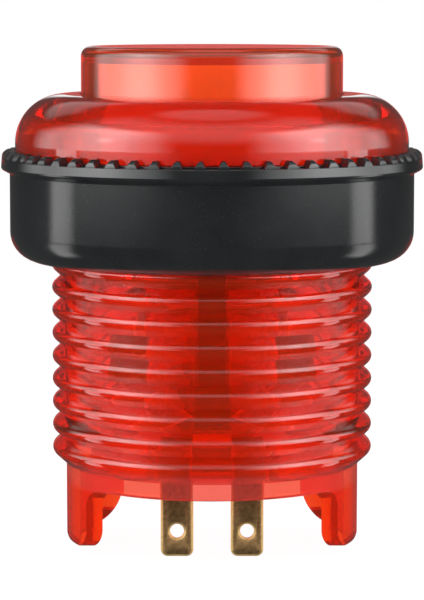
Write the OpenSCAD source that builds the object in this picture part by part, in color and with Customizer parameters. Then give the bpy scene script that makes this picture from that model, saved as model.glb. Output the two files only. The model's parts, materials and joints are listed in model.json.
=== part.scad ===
// Illuminated push button for a 28 mm panel hole, as used for quiz buzzers and game consoles.
// The origin is on the button's axis in the panel's upper face, where the bezel seats.
// +Z points out of the panel towards the player, and the two switch tabs face -Y.

/* [Bezel and plunger] */
// Outer diameter of the bezel
bezel_od = 34.1; // [33.6:0.1:34.2]
// Height of the bezel above the panel
bezel_h = 5.2; // [4.8:0.1:5.6]
// Outer diameter of the plunger cap
plunger_od = 22.66; // [22:0.02:22.7]
// Height of the plunger's top above the panel at rest
plunger_top = 9.3; // [8.8:0.1:10]
// Travel of the plunger
press_travel = 3.0; // [2.5:0.1:3]

/* [Barrel and nut] */
// Outer diameter of the thread
thread_od = 27.86; // [27.5:0.02:27.9]
// Distance from one thread crest to the next
thread_pitch = 2.0; // [2]
// Number of thread crests
thread_turns = 13; // [11:1:13]
// Diameter of the plain end of the barrel
barrel_od = 25.5; // [25.2:0.1:25.6]
// Lower rim of the barrel, below the panel's upper face
barrel_len = 28.25; // [27.75:0.1:28.55]
// Lower end of the two barrel legs
leg_len = 33.5; // [32:0.1:34]
// Outer diameter of the nut's grip
nut_od = 35.06; // [34:0.02:35.2]
// Outer diameter of the nut's serrated flange
flange_od = 36.56; // [36.2:0.02:37]
// Height of the nut, from its flange to its underside
nut_h = 9.05; // [8:0.05:10]
// Number of teeth on the nut's flange
teeth = 60; // [48:6:60]

/* [Terminals] */
// Width of a quick-connect tab
tab_w = 2.8; // [2.8]
// Thickness of a quick-connect tab
tab_t = 0.5; // [0.5]
// Distance between the centres of the two tabs of a pair
tab_pitch = 6.0; // [5.8:0.1:6.2]
// Lower end of the two switch tabs
tab_len = 34.2; // [33.8:0.1:35]
// Diameter of the wire hole in a switch tab
tab_hole_d = 1.2; // [1:0.1:1.4]
// Lower end of the two lamp tabs
lamp_tab_len = 31; // [30:0.1:31]

/* [Hidden] */
$fn = 96;

FIT = 0.05;                                  // radial gap of a running fit
OVER = 0.5;                                  // how far a cutter runs past a face

// Bezel
bezel_r = bezel_od / 2;
dome_r = 4.2;                                // radius of the bezel's rounded shoulder
dome_c = bezel_r - dome_r;                   // radius at which the shoulder's arc is centred
hollow_in = 14.5;                            // radii of the hollow under the bezel
hollow_out = 15.9;
hollow_h = 3.0;

// Thread: straight flanks with a rounded crest and a sharp root
thread_r = thread_od / 2;
thread_depth = 0.78;
root_r = thread_r - thread_depth;
crest_fillet = 0.65;
flank_slope = 1.1;                           // radial rise per millimetre along the axis
flank_len = sqrt(1 + flank_slope * flank_slope);
first_crest = -1.5;

// Barrel
barrel_r = barrel_od / 2;
plunger_r = plunger_od / 2;
bore_r = plunger_r + 0.12;
skirt_bore_r = 11.6;                         // bore below the seat lip
lip_r = 10.6;                                // seat lip that the base plate stands against
lip_top = -23.4;
lip_bottom = -24.9;
keyway_w = 3.2;
keyway_r = 12.4;
keyway_top = -18.4;
bead_h = 0.35;                               // snap beads under the base plate
bead_w = 4;
reach = 20;                                  // long enough to cut across the whole part
leg_front = -6.85;                           // the legs' edges, along Y
leg_rear = 8.2;
leg_front_round = 1.7;
leg_rear_round = 2.6;
leg_fillet = 1.6;
leg_edge_round = 1;                          // rounding of the legs' lower outer edge

// Nut
nut_r = nut_od / 2;
flange_r = flange_od / 2;
nut_bore_r = thread_r + FIT;
nut_top = -0.1;
nut_bottom = nut_top - nut_h;
nut_round = 2.5;
flange_drop = 1.6;                           // thickness of the flange with its rounded lower edge
flange_round = 1;
core_gap = 0.5;                              // from the bezel's hollow out to the nut's cored recess
core_floor = 2;
tooth_in = bezel_r + 0.12;
tooth_out = flange_r - 0.02;
tooth_h = 0.65;
tooth_base = 1.25;
tooth_tip = 0.55;
tooth_round = 0.55;                          // rounding of the teeth's outer upper corner
tooth_root = -0.25;                          // floor between the teeth
tooth_foot = 0.2;                            // how far the teeth run into the flange

// Plunger group
cap_wall = 1.42;
cap_round = 0.85;
cap_plate = 1.4;
cap_bottom = -2;
insert_r = plunger_r - cap_wall - FIT;
insert_wall = 1;
carrier_r = 11.2;
carrier_floor_top = -4;
insert_bottom = carrier_floor_top + 1;
carrier_floor_bottom = -5.5;
carrier_hole_r = 4.4;
leg_w = 2.2;
leg_in = 10.2;                               // the carrier legs' faces, along Y
leg_out = 11.3;
hook_w = 2.8;
hook_out = 12.25;
hook_step = 0.3;                             // the hook's upper edge is stepped back to slide in
hook_lip = 0.6;
hook_top = keyway_top - FIT;
leg_bottom = lip_bottom + press_travel + 0.05;

// Return spring, wound as flat rings joined by a slanting wire
spring_r = 5;
spring_wire = 0.6;
spring_turns = 4;
contact_coil_r = 1;
contact_wire = 0.24;
contact_turns = 5;
tower_top = -11.5;
tower_r = 5.6;
tower_bore_r = 4.4;
tower_foot = 0.5;
post_x = 6.95;                               // middle of the post behind each contact block
post_w = 2.4;
post_gap = 0.1;
foot_slot = 0.8;                             // depth of the slots for the lamp terminals' feet
foot_gap = 0.2;
notch_in = 11;                               // the plate's notches over the two keyways

// Base plate
base_t = 1.5;
base_r = skirt_bore_r - 0.1;
base_top = lip_bottom;
base_bottom = base_top - base_t;

// Contacts
tab_y = -6.3;                                // middle plane of the switch tabs
lamp_tab_y = 6.3;
tab_round = 0.6;
tab_hole_z = -32.0;
block_in = 5.5;
block_out = 8.4;
block_top = -15.6;
block_bottom = -19.4;
block_front = -7.8;
block_back = -4.8;
block_r = 11.1;                              // the blocks' outer corners are cut to this radius
stem_in = block_in + 0.05;
stem_out = 7.3;
neck_out = 6.45;                             // the strip narrows above the block
jog = [base_top + 0.7, block_bottom - 0.3, base_top + 1.3, block_bottom - 0.9];  // the jog's heights
strip_edge = block_out - 0.1;
shoulder = block_top - 0.6;
lug_d = 0.8;                                 // reach of a lug to either side of the contact's middle
contact_x = 6.4;
contact_y = -6.9;
tip_r = 0.8;
tip_h = 0.45;
lug_top = -12.7;
contact_gap = press_travel * 2 / 3 + 0.05;   // the contact closes at two thirds of the travel
bridge_t = 0.4;
bridge_half = 7.3;
bridge_w = 2;
bridge_boss_r = 1.2;
bridge_bottom = lug_top + tip_h + contact_gap + tip_h;
bridge_top = bridge_bottom + bridge_t;
peg_r = 0.6;
peg_end = 1;                                 // the peg's end below the bridge
retainer_gap = 0.05;
retainer_t = 0.3;
retainer_w = 0.5;

// Lamp
socket_w = 2.8;
socket_d = 7.6;
socket_top = -14;
strip_t = 0.3;
strip_w = 2.4;
wedge_w = 2.2;
wedge_d = 7;
slot_depth = 6;
wedge_bottom = socket_top - 5.5;
strip_top = socket_top - 0.5;
lamp_body_r = 3.8;
lamp_body_bottom = -11.5;
lamp_body_top = -8;
led_r = 2.5;
led_flange_r = 2.9;
led_flange_h = 1;
led_top = 0;
lead_t = 0.5;
lead_x = 0.64;
lead_top = lamp_body_top + 4;
resistor_half = 0.8;
resistor_y = [1.2, 2.6];
resistor_z = [lamp_body_top - 2.6, lamp_body_top - 0.6];

module box(x0, x1, y0, y1, z0, z1) {
    translate([x0, y0, z0]) cube([x1 - x0, y1 - y0, z1 - z0]);
}

module ring(r_in, r_out, z0, z1) {
    translate([0, 0, z0]) difference() {
        cylinder(r = r_out, h = z1 - z0);
        translate([0, 0, -OVER]) cylinder(r = r_in, h = z1 - z0 + 2 * OVER);
    }
}

// A rectangle in a radius and height plane
module band(r0, r1, z0, z1) {
    translate([r0, z0]) square([r1 - r0, z1 - z0]);
}

// One thread ridge in section, centred on its crest
module ridge() {
    half = thread_pitch / 2;
    flat_r = thread_r - crest_fillet + crest_fillet / flank_len;
    flat_z = crest_fillet * flank_slope / flank_len;
    foot = half + (root_r - barrel_r) / flank_slope;
    polygon([[barrel_r - 0.5, foot], [barrel_r, foot], [flat_r, flat_z],
             [flat_r, -flat_z], [barrel_r, -foot], [barrel_r - 0.5, -foot]]);
    translate([thread_r - crest_fillet, 0]) circle(r = crest_fillet);
}

// The bezel's section: a low dome with a flat top, open below
module bezel_section() {
    difference() {
        union() {
            band(bore_r - OVER, dome_c, 0, bezel_h);
            intersection() {
                translate([dome_c, bezel_h - dome_r]) circle(r = dome_r);
                band(dome_c, bezel_r, 0, bezel_h);
            }
            band(dome_c, bezel_r, 0, bezel_h - dome_r);
        }
        band(hollow_in, hollow_out, -OVER, hollow_h - (hollow_out - hollow_in) / 2);
        translate([(hollow_in + hollow_out) / 2, hollow_h - (hollow_out - hollow_in) / 2])
            circle(d = hollow_out - hollow_in);
    }
}

// A leg seen from the side, along X: rounded lower corners and a fillet at the rim
module leg_outline() {
    difference() {
        union() {
            translate([leg_front, -leg_len + leg_rear_round])
                square([leg_rear - leg_front, leg_len - leg_rear_round - barrel_len + 1]);
            translate([leg_front + leg_front_round, -leg_len])
                square([leg_rear - leg_front - leg_front_round - leg_rear_round, 3]);
            translate([leg_front, -leg_len + leg_front_round]) square([3, 2]);
            translate([leg_front + leg_front_round, -leg_len + leg_front_round])
                circle(r = leg_front_round);
            translate([leg_rear - leg_rear_round, -leg_len + leg_rear_round])
                circle(r = leg_rear_round);
            translate([leg_front - leg_fillet, -barrel_len - leg_fillet])
                square([leg_fillet + 1, leg_fillet + 1]);
            translate([leg_rear - 1, -barrel_len - leg_fillet])
                square([leg_fillet + 1, leg_fillet + 1]);
        }
        translate([leg_front - leg_fillet, -barrel_len - leg_fillet]) circle(r = leg_fillet);
        translate([leg_rear + leg_fillet, -barrel_len - leg_fillet]) circle(r = leg_fillet);
    }
}

// The legs' wall, rounded over its lower outer edge
module leg_wall_section() {
    foot = -leg_len - OVER;
    top = -barrel_len + 0.5;
    band(skirt_bore_r, barrel_r - leg_edge_round, foot, top);
    band(skirt_bore_r, barrel_r, foot + leg_edge_round, top);
    intersection() {
        translate([barrel_r - leg_edge_round, foot + leg_edge_round]) circle(r = leg_edge_round);
        band(skirt_bore_r, barrel_r, foot, top);
    }
}

// The clear moulding: bezel, threaded barrel and two legs
module housing() {
    color([0.85, 0.08, 0.05, 0.7]) difference() {
        union() {
            rotate_extrude() difference() {
                union() {
                    bezel_section();
                    band(lip_r, barrel_r, -barrel_len, 1);
                    band(lip_r, root_r, first_crest - (thread_turns - 1) * thread_pitch, 1);
                    for (k = [0 : thread_turns - 1])
                        translate([0, first_crest - k * thread_pitch]) ridge();
                }
                band(0, bore_r, lip_top, bezel_h + OVER);
                band(0, skirt_bore_r, -barrel_len - OVER, lip_bottom);
                band(0, lip_r, lip_bottom - OVER, lip_top + OVER);
            }
            // Beads that hold the base plate up against the lip
            intersection() {
                ring(skirt_bore_r - bead_h, barrel_r - 0.5, base_bottom - FIT - bead_h,
                     base_bottom - FIT);
                for (a = [45, 135])
                    rotate([0, 0, a])
                        box(-reach, reach, -bead_w / 2, bead_w / 2, -barrel_len, 0);
            }
            intersection() {
                rotate_extrude() leg_wall_section();
                rotate([90, 0, 90]) translate([0, 0, -reach]) linear_extrude(2 * reach)
                    leg_outline();
            }
        }
        for (side = [-1, 1])
            translate([-keyway_w / 2, side > 0 ? lip_r - 1 : -keyway_r, -barrel_len - OVER])
                cube([keyway_w, keyway_r - lip_r + 1, keyway_top + barrel_len + OVER]);
    }
}

// Everything inside the nut's outer outline, down to its bore
module nut_section() {
    grip_top = nut_top - flange_drop;
    band(nut_bore_r, nut_r, nut_bottom + nut_round, nut_top);
    band(nut_bore_r, nut_r - nut_round, nut_bottom, nut_top);
    intersection() {
        translate([nut_r - nut_round, nut_bottom + nut_round]) circle(r = nut_round);
        band(nut_bore_r, nut_r, nut_bottom, nut_top);
    }
    band(nut_r - 1, flange_r, grip_top + flange_round, tooth_root);
    band(nut_r - 1, flange_r - flange_round, grip_top, tooth_root);
    translate([flange_r - flange_round, grip_top + flange_round]) intersection() {
        circle(r = flange_round);
        band(-flange_round, flange_round, -flange_round, tooth_root - grip_top - flange_round);
    }
}

// Section of the ring that the teeth are cut from, rounded at its outer upper corner
module tooth_ring_section() {
    tooth_top = tooth_root + tooth_h;
    band(tooth_in, tooth_out, tooth_root - tooth_foot, tooth_top - tooth_round);
    band(tooth_in, tooth_out - tooth_round, tooth_root - tooth_foot, tooth_top);
    translate([tooth_out - tooth_round, tooth_top - tooth_round]) circle(r = tooth_round);
}

// One tooth seen from outside, as wide again below the flange's face as its foot
module tooth_outline() {
    polygon([[-tooth_base / 2, -tooth_foot], [tooth_base / 2, -tooth_foot], [tooth_base / 2, 0],
             [tooth_tip / 2, tooth_h], [-tooth_tip / 2, tooth_h], [-tooth_base / 2, 0]]);
}

module ring_nut() {
    color([0.19, 0.21, 0.22]) {
        rotate_extrude() difference() {
            nut_section();
            band(hollow_in + core_gap, hollow_out + core_gap,
                 nut_bottom + core_floor, nut_top + OVER);
        }
        intersection() {
            rotate_extrude() tooth_ring_section();
            for (k = [0 : teeth - 1])
                rotate([0, 0, 360 * (k + 0.5) / teeth - 90])
                    translate([tooth_in - OVER, 0, tooth_root])
                        rotate([90, 0, 90])
                            linear_extrude(tooth_out - tooth_in + 2 * OVER) tooth_outline();
        }
    }
}

// Clear outer cap of the plunger
module plunger_cap() {
    color([0.85, 0.12, 0.08, 0.7]) rotate_extrude() difference() {
        union() {
            band(0, plunger_r, cap_bottom, plunger_top - cap_round);
            band(0, plunger_r - cap_round, cap_bottom, plunger_top);
            translate([plunger_r - cap_round, plunger_top - cap_round]) circle(r = cap_round);
        }
        band(-OVER, plunger_r - cap_wall, cap_bottom - OVER, plunger_top - cap_plate);
    }
}

// Diffuser under the cap, a cup open below
module cap_insert() {
    top = plunger_top - cap_plate - FIT;
    color([1, 0.35, 0.1]) rotate_extrude() difference() {
        band(0, insert_r, insert_bottom, top);
        band(-OVER, insert_r - insert_wall, carrier_floor_top, top - insert_wall);
    }
}

// Carrier below the cap, with a guide leg and hook at the front and the back, and the contact peg
module guide_carrier() {
    color([0.13, 0.13, 0.14]) {
        rotate_extrude() {
            band(carrier_hole_r, carrier_r, carrier_floor_bottom, carrier_floor_top);
            band(insert_r - insert_wall - 1, carrier_r, carrier_floor_top, insert_bottom);
            band(insert_r + FIT, carrier_r, carrier_floor_top, cap_bottom);
        }
        for (side = [-1, 1]) scale([1, side, 1]) {
            intersection() {
                box(-leg_w / 2, leg_w / 2, leg_in, leg_out, leg_bottom, carrier_floor_top);
                translate([0, 0, leg_bottom - OVER]) cylinder(r = leg_out, h = reach);
            }
            box(-hook_w / 2, hook_w / 2, leg_in, hook_out, leg_bottom, hook_top - hook_lip);
            box(-hook_w / 2, hook_w / 2, leg_in, hook_out - hook_step,
                hook_top - hook_lip - OVER, hook_top);
        }
        translate([0, contact_y, bridge_bottom - peg_end])
            cylinder(r = peg_r, h = carrier_floor_bottom + OVER - bridge_bottom + peg_end);
    }
}

// One closed coil of spring wire every turn, with a short riser to the next
module coil(mean_r, wire, turns, z0, z1) {
    step = (z1 - z0 - wire) / (turns - 1);
    for (k = [0 : turns - 1])
        translate([0, 0, z0 + wire / 2 + k * step])
            rotate_extrude() translate([mean_r, 0]) circle(d = wire, $fn = 24);
    for (k = [0 : turns - 2])
        rotate([0, 0, k * 180]) translate([mean_r, 0, z0 + wire / 2 + k * step])
            cylinder(d = wire * 0.8, h = step, $fn = 24);
}

module return_spring() {
    color([0.7, 0.71, 0.73])
        coil(spring_r, spring_wire, spring_turns, tower_top, carrier_floor_bottom);
}

module contact_spring() {
    color([0.7, 0.71, 0.73]) translate([0, contact_y, 0])
        coil(contact_coil_r, contact_wire, contact_turns, bridge_top, carrier_floor_bottom);
}

// Plate that closes the barrel, with the lamp's tower and a post behind each contact block
module base_plate() {
    color([0.8, 0.1, 0.07, 0.8]) difference() {
        union() {
            translate([0, 0, base_bottom]) cylinder(r = base_r, h = base_t);
            ring(tower_bore_r, tower_r, base_top - tower_foot, tower_top);
            for (side = [-1, 1])
                box(side * post_x - post_w / 2, side * post_x + post_w / 2,
                    tab_y + tab_t / 2 + post_gap, block_back, base_top - tower_foot,
                    block_bottom);
        }
        for (side = [-1, 1]) {
            box(side * tab_pitch / 2 - tab_w / 2, side * tab_pitch / 2 + tab_w / 2,
                tab_y - tab_t / 2, tab_y + tab_t / 2, base_bottom - OVER, base_top + OVER);
            box(side * tab_pitch / 2 - tab_w / 2, side * tab_pitch / 2 + tab_w / 2,
                lamp_tab_y - tab_t / 2, lamp_tab_y + tab_t / 2,
                base_bottom - OVER, base_top + OVER);
            box(side * tab_pitch / 2 - tab_w / 2 - foot_gap,
                side * tab_pitch / 2 + tab_w / 2 + foot_gap,
                0, lamp_tab_y + tab_t / 2, base_top, base_top + foot_slot);
        }
        for (side = [-1, 1])
            box(-keyway_w / 2, keyway_w / 2, side > 0 ? notch_in : -reach,
                side > 0 ? reach : -notch_in, base_bottom - OVER, base_top + OVER);
    }
}

module contact_block(side) {
    color([0.1, 0.1, 0.11]) difference() {
        intersection() {
            box(side > 0 ? block_in : -block_out, side > 0 ? block_out : -block_in,
                block_front, block_back, block_bottom, block_top);
            translate([0, 0, block_bottom - OVER]) cylinder(r = block_r, h = reach);
        }
        switch_strip(side);
    }
}

// Flat stamping of a switch terminal: the tab, a jog outwards and the stem through its block
module switch_strip(side) {
    inner = tab_pitch / 2 - tab_w / 2;
    outer = tab_pitch / 2 + tab_w / 2;
    translate([0, tab_y + tab_t / 2, 0]) rotate([90, 0, 0]) linear_extrude(tab_t)
        scale([side, 1]) difference() {
            union() {
                polygon([[inner, -tab_len + tab_round], [outer, -tab_len + tab_round],
                         [outer, jog[0]], [strip_edge, jog[1]],
                         [strip_edge, shoulder], [neck_out, shoulder],
                         [neck_out, lug_top], [stem_in, lug_top],
                         [stem_in, jog[3]], [inner, jog[2]]]);
                translate([inner + tab_round, -tab_len])
                    square([tab_w - 2 * tab_round, 2 * tab_round]);
                for (x = [inner + tab_round, outer - tab_round])
                    translate([x, -tab_len + tab_round]) circle(r = tab_round, $fn = 48);
            }
            translate([tab_pitch / 2, tab_hole_z]) circle(d = tab_hole_d, $fn = 48);
        }
}

module switch_terminal(side) {
    color([0.72, 0.55, 0.25]) {
        switch_strip(side);
        box(side > 0 ? stem_in : -stem_out, side > 0 ? stem_out : -stem_in,
            contact_y - lug_d, tab_y, lug_top - tab_t, lug_top);
    }
}

module contact_tip(side, z) {
    translate([side * contact_x, contact_y, z]) cylinder(r = tip_r, h = tip_h, $fn = 48);
}

// Silver contact rivet on each terminal's lug
module fixed_contact(side) {
    color([0.85, 0.85, 0.86]) contact_tip(side, lug_top);
}

module bridge_contact() {
    color([0.75, 0.5, 0.3]) difference() {
        union() {
            box(-bridge_half, bridge_half, contact_y - bridge_w / 2, contact_y + bridge_w / 2,
                bridge_bottom, bridge_top);
            translate([0, contact_y, bridge_bottom])
                cylinder(r = bridge_boss_r, h = bridge_t, $fn = 48);
        }
        translate([0, contact_y, bridge_bottom - OVER])
            cylinder(r = peg_r + FIT, h = bridge_t + 2 * OVER, $fn = 48);
    }
}

module bridge_tips() {
    color([0.85, 0.85, 0.86])
        for (side = [-1, 1]) contact_tip(side, bridge_bottom - tip_h);
}

// Push-on clip that keeps the bridge on its peg
module bridge_retainer() {
    top = bridge_bottom - retainer_gap;
    color([0.5, 0.51, 0.53]) translate([0, contact_y, 0])
        ring(peg_r, peg_r + retainer_w, top - retainer_t, top, $fn = 48);
}

// Lamp socket, a thin holder with its broad faces to the left and right
module lamp_socket() {
    color([0.1, 0.1, 0.11]) difference() {
        box(-socket_w / 2, socket_w / 2, -socket_d / 2, socket_d / 2, base_top, socket_top);
        box(-wedge_w / 2 - FIT, wedge_w / 2 + FIT, -wedge_d / 2, wedge_d / 2,
            socket_top - slot_depth, socket_top + OVER);
    }
}

// Contact strip beside the socket, its foot along the base plate and the lamp tab at the back
module lamp_terminal(side) {
    inner = tab_pitch / 2 - tab_w / 2;
    outer = tab_pitch / 2 + tab_w / 2;
    foot_outer = outer - 0.8;
    color([0.72, 0.55, 0.25]) scale([side, 1, 1]) {
        box(socket_w / 2, socket_w / 2 + strip_t, -strip_w / 2, strip_w / 2,
            base_top, strip_top);
        box(socket_w / 2, foot_outer, -strip_w / 2, strip_w / 2, base_top, base_top + tab_t);
        box(inner, foot_outer, -strip_w / 2, lamp_tab_y, base_top, base_top + tab_t);
        box(inner, outer, lamp_tab_y - tab_t / 2, lamp_tab_y + tab_t / 2,
            -lamp_tab_len, base_top + tab_t);
    }
}

module lamp_base() {
    color([0.9, 0.9, 0.88]) difference() {
        union() {
            box(-wedge_w / 2, wedge_w / 2, -wedge_d / 2, wedge_d / 2,
                wedge_bottom, lamp_body_bottom + OVER);
            translate([0, 0, lamp_body_bottom])
                cylinder(r = lamp_body_r, h = lamp_body_top - lamp_body_bottom);
        }
        for (side = [-1, 1]) lead_shape(side);
        resistor_shape();
    }
}

// A lamp lead: up the wedge, through the body and into the LED
module lead_shape(side) {
    box(side * lead_x - lead_t / 2, side * lead_x + lead_t / 2, -lead_t / 2, lead_t / 2,
        wedge_bottom, lead_top);
}

module lamp_lead(side) {
    color([0.75, 0.75, 0.77]) lead_shape(side);
}

module resistor_shape() {
    box(-resistor_half, resistor_half, resistor_y[0], resistor_y[1],
        resistor_z[0], resistor_z[1]);
}

module series_resistor() {
    color([0.1, 0.1, 0.1]) resistor_shape();
}

module led_lens() {
    color([1, 0.9, 0.85, 0.8]) difference() {
        union() {
            translate([0, 0, lamp_body_top]) cylinder(r = led_flange_r, h = led_flange_h);
            translate([0, 0, lamp_body_top])
                cylinder(r = led_r, h = led_top - led_r - lamp_body_top);
            translate([0, 0, led_top - led_r]) sphere(r = led_r);
        }
        for (side = [-1, 1]) lead_shape(side);
    }
}

housing();
ring_nut();
plunger_cap();
cap_insert();
guide_carrier();
return_spring();
base_plate();
contact_block(-1);  // contact_block_left
contact_block(1);  // contact_block_right
switch_terminal(-1);  // switch_terminal_left
switch_terminal(1);  // switch_terminal_right
fixed_contact(-1);  // fixed_contact_left
fixed_contact(1);  // fixed_contact_right
bridge_contact();
bridge_tips();
contact_spring();
bridge_retainer();
lamp_socket();
lamp_terminal(-1);  // lamp_terminal_left
lamp_terminal(1);  // lamp_terminal_right
lamp_base();
led_lens();
lamp_lead(-1);  // lamp_lead_left
lamp_lead(1);  // lamp_lead_right
series_resistor();
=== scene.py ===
"""Looks for the illuminated push button: materials, finer meshes, studio and camera.

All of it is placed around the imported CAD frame. Names and comments say where a length is in mm.
"""
import json
import math

import bmesh
import bpy
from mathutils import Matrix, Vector

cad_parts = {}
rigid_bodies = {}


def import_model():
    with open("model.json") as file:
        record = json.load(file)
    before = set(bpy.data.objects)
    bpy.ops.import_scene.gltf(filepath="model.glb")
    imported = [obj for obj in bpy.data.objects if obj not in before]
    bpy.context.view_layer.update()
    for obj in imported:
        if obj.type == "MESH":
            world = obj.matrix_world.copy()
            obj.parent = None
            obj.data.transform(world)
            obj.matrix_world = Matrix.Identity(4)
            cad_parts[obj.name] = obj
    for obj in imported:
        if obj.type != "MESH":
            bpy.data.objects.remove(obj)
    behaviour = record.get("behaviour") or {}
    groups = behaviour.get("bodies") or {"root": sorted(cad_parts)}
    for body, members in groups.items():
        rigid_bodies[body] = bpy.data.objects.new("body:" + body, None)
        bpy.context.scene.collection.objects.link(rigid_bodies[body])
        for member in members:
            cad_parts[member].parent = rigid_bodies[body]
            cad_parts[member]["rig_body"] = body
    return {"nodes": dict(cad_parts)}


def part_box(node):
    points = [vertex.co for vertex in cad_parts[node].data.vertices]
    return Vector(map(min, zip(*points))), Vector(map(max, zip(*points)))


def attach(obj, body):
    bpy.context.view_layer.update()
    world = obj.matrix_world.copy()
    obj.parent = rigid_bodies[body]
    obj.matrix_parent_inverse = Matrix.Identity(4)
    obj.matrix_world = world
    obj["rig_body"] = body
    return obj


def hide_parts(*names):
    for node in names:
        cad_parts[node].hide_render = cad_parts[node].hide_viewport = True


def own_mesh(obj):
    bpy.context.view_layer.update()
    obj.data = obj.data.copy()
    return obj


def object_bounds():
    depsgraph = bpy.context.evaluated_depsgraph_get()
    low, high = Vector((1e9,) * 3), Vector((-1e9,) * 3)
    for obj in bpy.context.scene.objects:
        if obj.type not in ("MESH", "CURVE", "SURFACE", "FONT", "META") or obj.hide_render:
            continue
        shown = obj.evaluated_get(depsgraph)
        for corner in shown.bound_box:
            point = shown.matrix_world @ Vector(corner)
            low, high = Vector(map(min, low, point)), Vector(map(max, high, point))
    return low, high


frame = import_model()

MM = 0.001
cad_low, cad_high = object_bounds()
nodes = frame["nodes"]
body_of = {name: node["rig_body"] for name, node in nodes.items()}


# ---------------------------------------------------------------- node helpers
MIX_A, MIX_B, MIX_RESULT = 6, 7, 2  # the colour sockets of a Mix node, which share their names with others


class Tree:
    """A material's or a world's node tree, with short calls for adding and joining nodes."""

    def __init__(self, owner, output="ShaderNodeOutputMaterial"):
        self.owner = owner
        self.owner.use_nodes = True
        self.tree = self.owner.node_tree
        self.tree.nodes.clear()
        self.out = self.tree.nodes.new(output)

    def node(self, kind, inputs=None, **settings):
        """A new node with its settings made and its inputs fed."""
        made = self.tree.nodes.new(kind)
        for key, value in settings.items():
            setattr(made, key, value)
        for key, value in (inputs or {}).items():
            self.feed(made.inputs[key], value)
        return made

    def feed(self, socket, value):
        """Joins another socket to this one, or sets its value; a colour gets an alpha of 1."""
        if isinstance(value, bpy.types.NodeSocket):
            self.tree.links.new(value, socket)
        elif isinstance(value, (tuple, list)) and len(socket.default_value) > len(value):
            socket.default_value = (*value, 1.0)
        else:
            socket.default_value = value

    def position(self, scale=(1, 1, 1)):
        """The point on the object, in metres, stretched along each axis."""
        coord = self.node("ShaderNodeTexCoord")
        mapping = self.node("ShaderNodeMapping", {"Vector": coord.outputs["Object"], "Scale": scale})
        return mapping.outputs["Vector"]

    def split(self, vector):
        """The three sockets with a vector's X, Y and Z."""
        return self.node("ShaderNodeSeparateXYZ", {"Vector": vector}).outputs

    def noise(self, per_mm, detail=3.0, rough=0.55, stretch=(1, 1, 1), distortion=0.0):
        """Noise with about per_mm lumps to a millimetre."""
        made = self.node(
            "ShaderNodeTexNoise",
            {
                "Vector": self.position(stretch),
                "Scale": per_mm / MM,
                "Detail": detail,
                "Roughness": rough,
                "Distortion": distortion,
            },
        )
        return made.outputs["Fac"]

    def spread(self, value, low, high, start=0.3, end=0.7):
        """A value spread from start..end to low..high."""
        made = self.node(
            "ShaderNodeMapRange",
            {"Value": value, "From Min": start, "From Max": end, "To Min": low, "To Max": high},
        )
        return made.outputs["Result"]

    def rise(self, value, start, end, top=1.0):
        """Smoothly from 0 at start to top at end; it falls as the value grows if start is above end."""
        made = self.node(
            "ShaderNodeMapRange",
            {"Value": value, "From Min": start, "From Max": end, "To Min": 0.0, "To Max": top},
            interpolation_type="SMOOTHSTEP",
        )
        return made.outputs["Result"]

    def window(self, value, start, end, soft_start, soft_end, top=1.0):
        """Smoothly top between start and end and 0 outside them."""
        up = self.rise(value, start - soft_start, start + soft_start, top)
        down = self.rise(value, end + soft_end, end - soft_end)
        return self.maths("MULTIPLY", up, down)

    def blend(self, factor, a, b):
        """Colour a where the factor is 0 and colour b where it is 1."""
        made = self.node("ShaderNodeMix", data_type="RGBA")
        self.feed(made.inputs["Factor"], factor)
        self.feed(made.inputs[MIX_A], a)
        self.feed(made.inputs[MIX_B], b)
        return made.outputs[MIX_RESULT]

    def maths(self, operation, a, b=0.0):
        """One step of arithmetic; an operation on a single value leaves b out."""
        return self.node("ShaderNodeMath", {0: a, 1: b}, operation=operation).outputs["Value"]

    def bump(self, height, distance_mm):
        made = self.node(
            "ShaderNodeBump", {"Height": height, "Distance": distance_mm * MM, "Strength": 1.0}
        )
        return made.outputs["Normal"]

    def surface(self, shader):
        """Makes the shader this tree's result and gives back the material or world."""
        self.tree.links.new(shader, self.out.inputs["Surface"])
        return self.owner

    def absorb(self, per_mm):
        """Absorption of red, green and blue, for each millimetre of depth."""
        density = max(per_mm) / MM
        colour = [1 - value / max(per_mm) for value in per_mm]
        made = self.node("ShaderNodeVolumeAbsorption", {"Color": colour, "Density": density})
        self.tree.links.new(made.outputs["Volume"], self.out.inputs["Volume"])


# ---------------------------------------------------------------- materials
PLASTIC_IOR = 1.49
COAT_ROUGH = 0.05
BAND_EDGE = 0.3  # mm over which a paler band fades in and out
DUST_GREY = (0.35, 0.35, 0.34)
SHEARED_AND_HIGHLIT_FACING = (0.98, 0.85)  # how squarely a face looks along Y: where the sheared edge and its painted highlight start, and are whole
SHEARED_AND_HIGHLIT_DULLING = 0.75  # how much less metallic the sheared edge with its painted highlight is


def darker(colour, factor):
    return [c * factor for c in colour]


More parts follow.
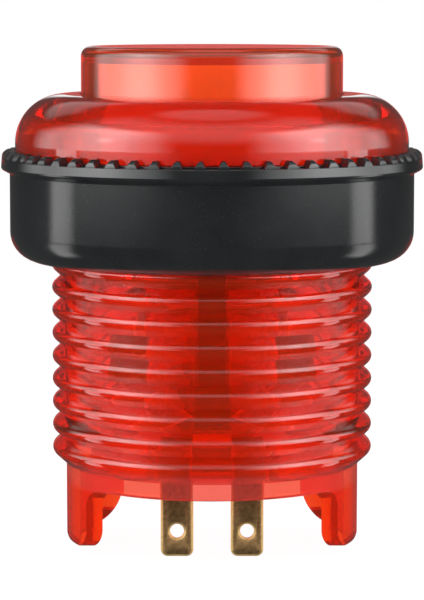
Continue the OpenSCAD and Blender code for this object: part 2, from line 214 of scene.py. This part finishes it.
def clear_plastic(name, dye, absorption, milk, rough=(0.02, 0.06), ior=PLASTIC_IOR, gloss=0.0, pale=None):
    """Polished clear moulding: dyed and a little milky, with flow ripples and faint handling haze.

    pale is a paler colour, with the lowest and highest level, in mm, of the band that has it.
    """
    t = Tree(bpy.data.materials.new(name))
    haze = t.noise(per_mm=0.35, detail=5.0, rough=0.65)
    scuff = t.noise(per_mm=1.6, detail=2.0, stretch=(1, 1, 4), distortion=0.6)
    roughness = t.spread(t.maths("MULTIPLY", haze, scuff), *rough, start=0.16, end=0.36)
    ripple = t.noise(per_mm=0.22, detail=2.0)
    colour = t.blend(t.spread(haze, 0.0, 1.0), dye, darker(dye, 0.94))
    if pale:
        pale_colour, band_low, band_high = pale
        level = t.split(t.position())["Z"]
        band = t.window(level, band_low * MM, band_high * MM, BAND_EDGE * MM, BAND_EDGE * MM)
        colour = t.blend(band, colour, pale_colour)
    p = t.node(
        "ShaderNodeBsdfPrincipled",
        {
            "Base Color": colour,
            "Roughness": roughness,
            "IOR": ior,
            "Transmission Weight": 1.0 - milk,
            "Coat Weight": gloss,
            "Coat Roughness": COAT_ROUGH,
            "Coat IOR": PLASTIC_IOR,
            "Normal": t.bump(ripple, distance_mm=0.002),
        },
    )
    t.absorb(absorption)
    return t.surface(p.outputs["BSDF"])


def moulded_plastic(name, colour, rough, speck=0.0):
    """Opaque moulded plastic: mottled colour, uneven gloss and a fine eroded grain.

    speck is how strongly the specks of dust on it show.
    """
    t = Tree(bpy.data.materials.new(name))
    cloud = t.noise(per_mm=0.18, detail=4.0)
    grain = t.noise(per_mm=9.0, detail=3.0, rough=0.6)
    lighter = [min(c * 1.35 + 0.004, 1) for c in colour]
    base = t.blend(t.spread(cloud, 0.0, 1.0), colour, lighter)
    if speck:
        dust = t.spread(t.noise(per_mm=7.0, detail=1.0), 0.0, speck, start=0.7, end=0.76)
        base = t.blend(dust, base, DUST_GREY)
    p = t.node(
        "ShaderNodeBsdfPrincipled",
        {
            "Base Color": base,
            "Roughness": t.spread(grain, *rough, start=0.25, end=0.75),
            "Normal": t.bump(grain, distance_mm=0.004),
        },
    )
    return t.surface(p.outputs["BSDF"])


def stamped_metal(name, colour, tarnish, rough, bump_mm=0.004, edge=None):
    """Sheet or wire metal: tarnished patches over a fine grain.

    edge is the brighter, less metallic colour of the faces that don't look along Y, the sheared edges:
    partly the sheared metal's own colour, partly a painted highlight.
    """
    t = Tree(bpy.data.materials.new(name))
    patch = t.noise(per_mm=2.6, detail=6.0, rough=0.8)
    grain = t.noise(per_mm=5.0, detail=4.0, rough=0.65)
    base = t.blend(t.spread(patch, 0.0, 1.0, start=0.45, end=0.65), colour, tarnish)
    metallic = 1.0
    if edge:
        # Faces that don't look along Y take the edge colour: partly sheared metal, partly a painted
        # highlight.
        normal = t.node("ShaderNodeNewGeometry").outputs["True Normal"]
        facing = t.maths("ABSOLUTE", t.split(normal)["Y"])
        sheared_and_highlit = t.rise(facing, *SHEARED_AND_HIGHLIT_FACING)
        base = t.blend(sheared_and_highlit, base, edge)
        metallic = t.maths("SUBTRACT", 1.0, t.maths("MULTIPLY", sheared_and_highlit, SHEARED_AND_HIGHLIT_DULLING))
    wear = t.maths("ADD", grain, t.maths("MULTIPLY", patch, 0.4))
    p = t.node(
        "ShaderNodeBsdfPrincipled",
        {
            "Base Color": base,
            "Metallic": metallic,
            "Roughness": t.spread(wear, *rough, start=0.4, end=1.0),
            "Normal": t.bump(grain, bump_mm),
        },
    )
    return t.surface(p.outputs["BSDF"])


def diffusing_plastic(name, colour, painted_glow, strength):
    """Milky plastic with a painted glow: it gives off light of its own, though it is no lamp."""
    t = Tree(bpy.data.materials.new(name))
    cloud = t.noise(per_mm=0.25, detail=4.0)
    p = t.node(
        "ShaderNodeBsdfPrincipled",
        {
            "Base Color": t.blend(t.spread(cloud, 0.0, 1.0), colour, darker(colour, 0.92)),
            "Roughness": t.spread(t.noise(per_mm=3.0), 0.3, 0.5),
            # A painted glow: the diffuser shines though the button's lamp gives no light.
            "Emission Color": t.blend(t.spread(cloud, 0.0, 1.0), painted_glow, darker(painted_glow, 0.9)),
            "Emission Strength": strength,
            "Normal": t.bump(t.noise(per_mm=6.0), distance_mm=0.003),
        },
    )
    return t.surface(p.outputs["BSDF"])


LOOKS = {
    "clear_red": (
        clear_plastic,
        {
            "dye": (1.0, 0.08, 0.014),
            "absorption": (0.003, 0.2, 0.45),
            "milk": 0.17,
            "ior": 1.22,
            "gloss": 0.9,
            "pale": ((0.95, 0.18, 0.145), -28.4, -26.2),
        },
    ),
    "clear_red_cap": (
        clear_plastic,
        {
            "dye": (1.0, 0.25, 0.09),
            "absorption": (0.006, 0.1, 0.25),
            "milk": 0.12,
            "rough": (0.04, 0.08),
            "ior": 1.3,
            "gloss": 0.8,
        },
    ),
    # Its glow is painted light; the lamp inside gives none.
    "diffuser": (
        diffusing_plastic,
        {"colour": (0.97, 0.8, 0.5), "painted_glow": (1.0, 0.55, 0.2), "strength": 0.35},
    ),
    "nut_black": (
        moulded_plastic,
        {"colour": (0.012, 0.0132, 0.0138), "rough": (0.1, 0.16), "speck": 0.08},
    ),
    "inner_black": (moulded_plastic, {"colour": (0.016, 0.016, 0.018), "rough": (0.35, 0.55)}),
    "lamp_white": (moulded_plastic, {"colour": (0.72, 0.72, 0.69), "rough": (0.3, 0.5)}),
    "led_epoxy": (
        clear_plastic,
        {"dye": (1.0, 0.98, 0.96), "absorption": (0.01, 0.02, 0.03), "milk": 0.03},
    ),
    "resistor_body": (moulded_plastic, {"colour": (0.02, 0.02, 0.022), "rough": (0.3, 0.5)}),
    "brass": (
        stamped_metal,
        {
            "colour": (0.72, 0.46, 0.2),
            "tarnish": (0.36, 0.21, 0.09),
            "rough": (0.34, 0.5),
            "bump_mm": 0.01,
            # the sheared edges: partly their own metal, partly a painted highlight
            "edge": (0.95, 0.7, 0.26),
        },
    ),
    "copper_alloy": (
        stamped_metal,
        {"colour": (0.72, 0.42, 0.24), "tarnish": (0.4, 0.2, 0.12), "rough": (0.25, 0.4)},
    ),
    "silver": (
        stamped_metal,
        {"colour": (0.83, 0.83, 0.82), "tarnish": (0.5, 0.48, 0.44), "rough": (0.2, 0.35)},
    ),
    "spring_steel": (
        stamped_metal,
        {"colour": (0.55, 0.56, 0.58), "tarnish": (0.3, 0.3, 0.32), "rough": (0.2, 0.35)},
    ),
    "tinned_wire": (
        stamped_metal,
        {"colour": (0.7, 0.71, 0.72), "tarnish": (0.45, 0.45, 0.46), "rough": (0.3, 0.45)},
    ),
}
MATERIALS = {name: make(name, **look) for name, (make, look) in LOOKS.items()}

for node in nodes.values():
    for slot in node.material_slots:
        slot.material = MATERIALS[slot.material.name.split(".")[0]]


# ---------------------------------------------------------------- finer meshes
def piece(name, bm, slot, replaced, sharp_deg=35.0):
    """Makes a smooth-shaded object of bm, which stands for a CAD node and rides its body."""
    bmesh.ops.recalc_face_normals(bm, faces=bm.faces)
    mesh = bpy.data.meshes.new(name)
    bm.to_mesh(mesh)
    bm.free()
    mesh.shade_smooth()
    mesh.set_sharp_from_angle(angle=math.radians(sharp_deg))
    mesh.materials.append(MATERIALS[slot])
    made = bpy.data.objects.new(name, mesh)
    bpy.context.scene.collection.objects.link(made)
    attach(made, body_of[replaced])
    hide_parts(replaced)
    return made


def skin(bm, loops, ring=False):
    """Faces from each loop of vertices to the next: on round a ring, or else with capped ends."""
    following = loops[1:] + loops[:1] if ring else loops[1:]
    for here, there in zip(loops, following):
        for i in range(len(here)):
            j = (i + 1) % len(here)
            bm.faces.new((here[i], there[i], there[j], here[j]))
    if not ring:
        bm.faces.new(loops[0])
        bm.faces.new(loops[-1])


def rounded(corners, steps):
    """A closed outline from (x, y, radius) corners, each rounded off in so many steps."""
    outline = []
    for i, (x, y, radius) in enumerate(corners):
        at = Vector((x, y))
        before = (Vector(corners[i - 1][:2]) - at).normalized()
        after = (Vector(corners[(i + 1) % len(corners)][:2]) - at).normalized()
        if radius <= 0:
            outline.append(tuple(at))
            continue
        half = before.angle(after) / 2
        reach = radius / math.tan(half)
        middle = at + (before + after).normalized() * (radius / math.sin(half))
        first = at + before * reach - middle
        last = at + after * reach - middle
        sweep = first.angle_signed(last)
        for k in range(steps + 1):
            part = -sweep * k / steps
            outline.append(
                (
                    middle.x + first.x * math.cos(part) - first.y * math.sin(part),
                    middle.y + first.x * math.sin(part) + first.y * math.cos(part),
                )
            )
    return outline


def add_lathe(bm, section, steps):
    """Turns a closed section of (radius, height) in mm about the Z axis."""
    rings = []
    for k in range(steps):
        turn = 2 * math.pi * k / steps
        ring = []
        for r, z in section:
            ring.append(bm.verts.new((r * MM * math.cos(turn), r * MM * math.sin(turn), z * MM)))
        rings.append(ring)
    skin(bm, rings, ring=True)


# The ring nut, in mm: the radii and levels of its CAD node, and the channel cored out of its top.
NUT_BORE, NUT_R, NUT_ROUND = 13.98, 17.53, 2.5
FLANGE_R, FLANGE_TOP, FLANGE_DROP = 18.28, -0.25, 1.6
NUT_TOP = -0.1
CHANNEL_IN, CHANNEL_OUT, CHANNEL_FLOOR = 15.0, 16.4, 2.0
NUT_TURN_STEPS, NUT_ROUND_STEPS = 240, 10
# The flange's teeth, in mm: their width at the base and the tip, the rounding of their outer ends and
# shoulders, how low the outer ends come, and how far the feet sink into the flange.
TEETH, TOOTH_H, TOOTH_IN, TOOTH_OUT = 60, 0.65, 17.17, 18.2
TOOTH_BASE, TOOTH_TIP, TOOTH_ROUND, TOOTH_SHOULDER = 0.98, 0.34, 0.55, 0.2
TOOTH_LEAST, TOOTH_FOOT = 0.04, 0.2
TOOTH_STEPS, SHOULDER_STEPS = 8, 5


def add_tooth(bm, turn):
    """One tooth of the flange, rounded over its top and its outer end."""
    stations = [(TOOTH_IN, TOOTH_H)]
    for k in range(TOOTH_STEPS + 1):
        fall = k / TOOTH_STEPS * math.pi / 2
        r = TOOTH_OUT - TOOTH_ROUND + TOOTH_ROUND * math.sin(fall)
        top = TOOTH_H - TOOTH_ROUND + TOOTH_ROUND * math.cos(fall)
        stations.append((r, max(top, TOOTH_LEAST)))
    half = TOOTH_BASE / 2
    loops = []
    for r, top in stations:
        half_top = (TOOTH_BASE + (TOOTH_TIP - TOOTH_BASE) * top / TOOTH_H) / 2
        shoulder = min(TOOTH_SHOULDER, half_top * 0.9, top * 0.45)  # kept small enough to fit
        outline = rounded(
            [
                (-half, -TOOTH_FOOT, 0),
                (half, -TOOTH_FOOT, 0),
                (half, 0, 0),
                (half_top, top, shoulder),
                (-half_top, top, shoulder),
                (-half, 0, 0),
            ],
            SHOULDER_STEPS,
        )
        loop = []
        for across, z in outline:
            x = r * math.cos(turn) - across * math.sin(turn)
            y = r * math.sin(turn) + across * math.cos(turn)
            loop.append(bm.verts.new((x * MM, y * MM, (FLANGE_TOP + z) * MM)))
        loops.append(loop)
    skin(bm, loops)


def build_nut():
    """The ring nut with rounded edges, its cored channel and its toothed flange."""
    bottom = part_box("ring_nut")[0].z / MM
    grip_top = NUT_TOP - FLANGE_DROP
    section = rounded(  # the radius, height and rounding of each corner
        [
            (NUT_BORE, bottom, 0.15),
            (NUT_R, bottom, NUT_ROUND),
            (NUT_R, grip_top + 0.1, 0.12),
            (FLANGE_R, grip_top + 0.5, 0.3),
            (FLANGE_R - 0.07, FLANGE_TOP, 0.12),
            (TOOTH_IN + 0.1, FLANGE_TOP, 0.0),
            (TOOTH_IN + 0.1, NUT_TOP, 0.05),
            (CHANNEL_OUT, NUT_TOP, 0.1),
            (CHANNEL_OUT, bottom + CHANNEL_FLOOR, 0.3),
            (CHANNEL_IN, bottom + CHANNEL_FLOOR, 0.3),
            (CHANNEL_IN, NUT_TOP, 0.1),
            (NUT_BORE, NUT_TOP, 0.15),
        ],
        NUT_ROUND_STEPS,
    )
    bm = bmesh.new()
    add_lathe(bm, section, NUT_TURN_STEPS)
    for k in range(TEETH):
        add_tooth(bm, 2 * math.pi * (k + 0.5) / TEETH)
    piece("ring_nut_fine", bm, "nut_black", "ring_nut")


DEAD_TURNS = 0.9  # closed turns at each end of a spring
COIL_GAP = 0.02  # mm between closed turns
EASED = 0.4  # how much of the climb eases in and out, where the rest is even
COIL_STEPS, WIRE_SIDES = 48, 12


def add_helix(bm, centre, radius, wire_r, low, high, turns):
    """A round wire wound with its two end turns closed, all in mm."""
    closed_pitch = 2 * wire_r + COIL_GAP
    climb_height = high - low - 2 * wire_r - 2 * closed_pitch * DEAD_TURNS
    loops = []
    for k in range(int(turns * COIL_STEPS) + 1):
        turn = k / COIL_STEPS
        climb = min(max((turn - DEAD_TURNS) / (turns - 2 * DEAD_TURNS), 0), 1)
        climb = climb * climb * (3 - 2 * climb) * EASED + climb * (1 - EASED)
        lift = closed_pitch * (min(turn, DEAD_TURNS) + max(turn - turns + DEAD_TURNS, 0))
        z = low + wire_r + lift + climb_height * climb
        angle = 2 * math.pi * turn
        outward = Vector((math.cos(angle), math.sin(angle), 0))
        middle = Vector((centre[0], centre[1], z)) + outward * radius
        loop = []
        for i in range(WIRE_SIDES):
            around = 2 * math.pi * i / WIRE_SIDES
            sideways = outward * wire_r * math.cos(around)
            upward = Vector((0, 0, wire_r * math.sin(around)))
            loop.append(bm.verts.new((middle + sideways + upward) * MM))
        loops.append(loop)
    skin(bm, loops)


def build_spring(node, centre, radius, wire_r, turns):
    """The wound wire that stands for a spring's CAD node.

    Lengths are in mm.
    """
    low, high = (corner.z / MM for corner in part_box(node))
    bm = bmesh.new()
    add_helix(bm, centre, radius, wire_r, low, high, turns)
    wire = piece(node + "_wire", bm, "spring_steel", node)
    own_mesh(wire)


WELD = 0.0005  # mm
FLAT_DEG = 0.5  # faces that meet at less are made one
CREASE_DEG = 40.0  # edges that turn by more get a bevel
BEVEL_WIDTH = 0.2  # mm
BEVEL_SHARP_DEG = 20.0


def build_terminal(node):
    """A terminal's CAD node with the rounded edges that its stamping leaves."""
    bm = bmesh.new()
    bm.from_mesh(nodes[node].data)
    bmesh.ops.remove_doubles(bm, verts=bm.verts, dist=WELD * MM)
    bmesh.ops.dissolve_limit(bm, angle_limit=math.radians(FLAT_DEG), verts=bm.verts, edges=bm.edges)
    crease = math.radians(CREASE_DEG)
    creases = [e for e in bm.edges if e.is_manifold and e.calc_face_angle() > crease]
    bmesh.ops.bevel(
        bm,
        geom=creases,
        offset=BEVEL_WIDTH * MM,
        segments=2,
        profile=0.5,
        affect="EDGES",
        clamp_overlap=False,
    )
    bmesh.ops.triangulate(bm, faces=bm.faces)
    piece(node + "_edged", bm, "brass", node, sharp_deg=BEVEL_SHARP_DEG)


build_nut()
build_spring(
    "return_spring",
    centre=(0, 0),
    radius=5.0,
    wire_r=0.3,
    turns=4.5,
)
build_spring(
    "contact_spring",
    centre=(0, -6.9),
    radius=1.0,
    wire_r=0.12,
    turns=6.0,
)
for side in ("left", "right"):
    for kind in ("switch_terminal_", "lamp_terminal_"):
        build_terminal(kind + side)


# ---------------------------------------------------------------- studio
# The radiance of what the gloss mirrors, and the angles in degrees that each thing fills. A pair is
# where it starts to show and where it is whole. Four are its two edges, then how soft each of them is.
PANEL_HEIGHT = (-2.9, 40, 0.5, 5)  # of the softbox on each side and of the bulb showing through it
SOFTBOX, SOFTBOX_FRONT, SOFTBOX_BACK = 2.4, (16, 38), (130, 106)
BULB, BULB_FRONT, BULB_BACK = 3.2, (34, 62), (104, 64)
CORE, CORE_WIDTH, CORE_HEIGHT = 4.0, (62, 70, 5, 5), (15, 21, 5, 5)
FRONT_LEAN = 0.15  # how far the softbox's front edge leans back for each degree up
BACK_LEAN, BACK_LEAN_FROM = 0.9, 15  # how far its back edge leans forward for each degree above a level
STRIP, STRIP_WIDTH, STRIP_HEIGHT = 3.1, (84.2, 101.4, 1.0, 1.0), (-9.3, -2.4, 0.25, 0.5)
LOW_STRIP, LOW_STRIP_HEIGHT = STRIP * 0.8, (-38, -11.3, 4, 0.25)
STRIP_LEAN, STRIP_LEAN_FROM = 0.45, -5  # how far the strips lean back for each degree below a level
GLOW, GLOW_WIDTH, GLOW_HEIGHT = 1.3, (35, 82, 25, 2), (-7, -2, 1, 1)
CEILING, CEILING_BACK, CEILING_HEIGHT = 1.1, (115, 75), (22, 64, 12, 12)
ZENITH, ZENITH_FROM = 0.9, (68, 79)
REAR, REAR_WIDTH, REAR_HEIGHT = 0.5, (132, 166, 6, 4), (26, 44, 3, 4)
GLINT, GLINT_FROM, GLINT_HEIGHT = 0.95, (172, 176), (3.0, 10, 0.7, 2)
BOUNCE, BOUNCE_FROM, BOUNCE_LEVEL = 0.6, (152, 166), (-2.2, 2.2, 0.5, 0.4)
BOUNCE_BELOW = (-13, -6.4, 0.5, 0.4, 0.45)  # the last is how strong it is here
BOUNCE_RED, REDDENED = (1, 0.16, 0.14), (0, 0.3)
DARK = 0.06  # the rest of the studio, and added to everything above


def studio_world():
    """A dark studio with its lights for the gloss, and even white light for everything else.

    Azimuth 0 points from the object at the camera and 180 at the backdrop, alike on both sides.
    """
    t = Tree(bpy.data.worlds.new("studio"), "ShaderNodeOutputWorld")
    x, y, z = t.split(t.node("ShaderNodeTexCoord").outputs["Generated"])

    def degrees(angle):
        return t.maths("MULTIPLY", angle, 180 / math.pi)

    def lit(radiance, *windows):
        """Radiance where all the windows are open."""
        for window in windows:
            radiance = t.maths("MULTIPLY", window, radiance)
        return radiance

    azimuth = degrees(t.maths("ARCTAN2", t.maths("ABSOLUTE", x), t.maths("MULTIPLY", y, -1)))
    elevation = degrees(t.maths("ARCSINE", z))
    above = t.maths("MAXIMUM", t.maths("SUBTRACT", elevation, BACK_LEAN_FROM), 0)
    below = t.maths("MAXIMUM", t.maths("SUBTRACT", STRIP_LEAN_FROM, elevation), 0)
    front = t.maths("SUBTRACT", azimuth, t.maths("MULTIPLY", elevation, FRONT_LEAN))
    back = t.maths("ADD", azimuth, t.maths("MULTIPLY", above, BACK_LEAN))
    leant = t.maths("SUBTRACT", azimuth, t.maths("MULTIPLY", below, STRIP_LEAN))
    panel = t.window(elevation, *PANEL_HEIGHT)
    strip = t.window(leant, *STRIP_WIDTH)
    levels = t.maths("ADD", t.window(elevation, *BOUNCE_LEVEL), t.window(elevation, *BOUNCE_BELOW))
    behind = t.maths("MULTIPLY", t.rise(azimuth, *BOUNCE_FROM), levels)
    lights = [
        lit(SOFTBOX, t.rise(front, *SOFTBOX_FRONT), t.rise(back, *SOFTBOX_BACK), panel),
        lit(BULB, t.rise(azimuth, *BULB_FRONT), t.rise(azimuth, *BULB_BACK), panel),
        lit(CORE, t.window(azimuth, *CORE_WIDTH), t.window(elevation, *CORE_HEIGHT)),
        lit(STRIP, strip, t.window(elevation, *STRIP_HEIGHT)),
        lit(LOW_STRIP, strip, t.window(elevation, *LOW_STRIP_HEIGHT)),
        lit(GLOW, t.window(azimuth, *GLOW_WIDTH), t.window(elevation, *GLOW_HEIGHT)),
        lit(CEILING, t.rise(azimuth, *CEILING_BACK), t.window(elevation, *CEILING_HEIGHT)),
        lit(ZENITH, t.rise(elevation, *ZENITH_FROM)),
        lit(REAR, t.window(azimuth, *REAR_WIDTH), t.window(elevation, *REAR_HEIGHT)),
        lit(GLINT, t.rise(azimuth, *GLINT_FROM), t.window(elevation, *GLINT_HEIGHT)),
        lit(BOUNCE, behind),
    ]
    total = DARK
    for light in lights:
        total = t.maths("ADD", light, total)
    glossy = t.node("ShaderNodeLightPath").outputs["Is Glossy Ray"]
    # A Mix node's sockets 2 and 3 are its two plain numbers.
    strength = t.node("ShaderNodeMix", {0: glossy, 2: 1.0, 3: total}, data_type="FLOAT").outputs[0]
    reddened = t.rise(t.maths("MULTIPLY", glossy, behind), *REDDENED)
    colour = t.blend(reddened, (1, 1, 1), BOUNCE_RED)
    background = t.node("ShaderNodeBackground", {"Color": colour, "Strength": strength})
    return t.surface(background.outputs["Background"])


bpy.context.scene.world = studio_world()

FLOOR_RADIUS, FLOOR_GAP = 0.16, 0.0001  # metres; the gap is below the object's lowest point
FLOOR_SIDES = 96
FLOOR_GREY, FLOOR_GREY_DARK = (0.1, 0.1, 0.1), (0.08, 0.08, 0.08)
FLOOR_GLOW = 0.97


def floor_material():
    """Near white, mostly by its own light so that shadows are faint, and clear from below."""
    t = Tree(bpy.data.materials.new("floor"))
    grey = t.blend(t.spread(t.noise(per_mm=0.02), 0, 1), FLOOR_GREY, FLOOR_GREY_DARK)
    shade = t.node(
        "ShaderNodeBsdfPrincipled",
        {
            "Base Color": grey,
            "Roughness": 0.9,
            "Specular IOR Level": 0.0,
            "Emission Color": (1.0, 1.0, 1.0),
            "Emission Strength": FLOOR_GLOW,
        },
    )
    clear = t.node("ShaderNodeBsdfTransparent")
    from_below = t.node("ShaderNodeNewGeometry").outputs["Backfacing"]
    both_sides = t.node(
        "ShaderNodeMixShader", {0: from_below, 1: shade.outputs["BSDF"], 2: clear.outputs["BSDF"]}
    )
    return t.surface(both_sides.outputs["Shader"])


floor_mesh = bpy.data.meshes.new("floor")
bm = bmesh.new()
bmesh.ops.create_circle(bm, cap_ends=True, segments=FLOOR_SIDES, radius=FLOOR_RADIUS)
bm.to_mesh(floor_mesh)
bm.free()
floor_mesh.materials.append(floor_material())
floor = bpy.data.objects.new("floor", floor_mesh)
bpy.context.scene.collection.objects.link(floor)
floor.location = (0, 0, cad_low.z - FLOOR_GAP)
floor.visible_glossy = False

CAMERA_AT = (0, -0.23435, 0.0135)  # metres
CAMERA_DIP_DEG = 6.4  # how far below level it looks
CAMERA_LENS, CAMERA_SENSOR = 162, 36  # mm
CAMERA_CLIP = (0.01, 10)  # metres

camera_data = bpy.data.cameras.new("camera")
camera_data.lens = CAMERA_LENS
camera_data.sensor_width = CAMERA_SENSOR
camera_data.clip_start, camera_data.clip_end = CAMERA_CLIP
camera = bpy.data.objects.new("camera", camera_data)
bpy.context.scene.collection.objects.link(camera)
camera.location = CAMERA_AT
camera.rotation_euler = (math.radians(90 - CAMERA_DIP_DEG), 0, 0)
bpy.context.scene.camera = camera
bpy.context.scene.view_settings.view_transform = "Standard"
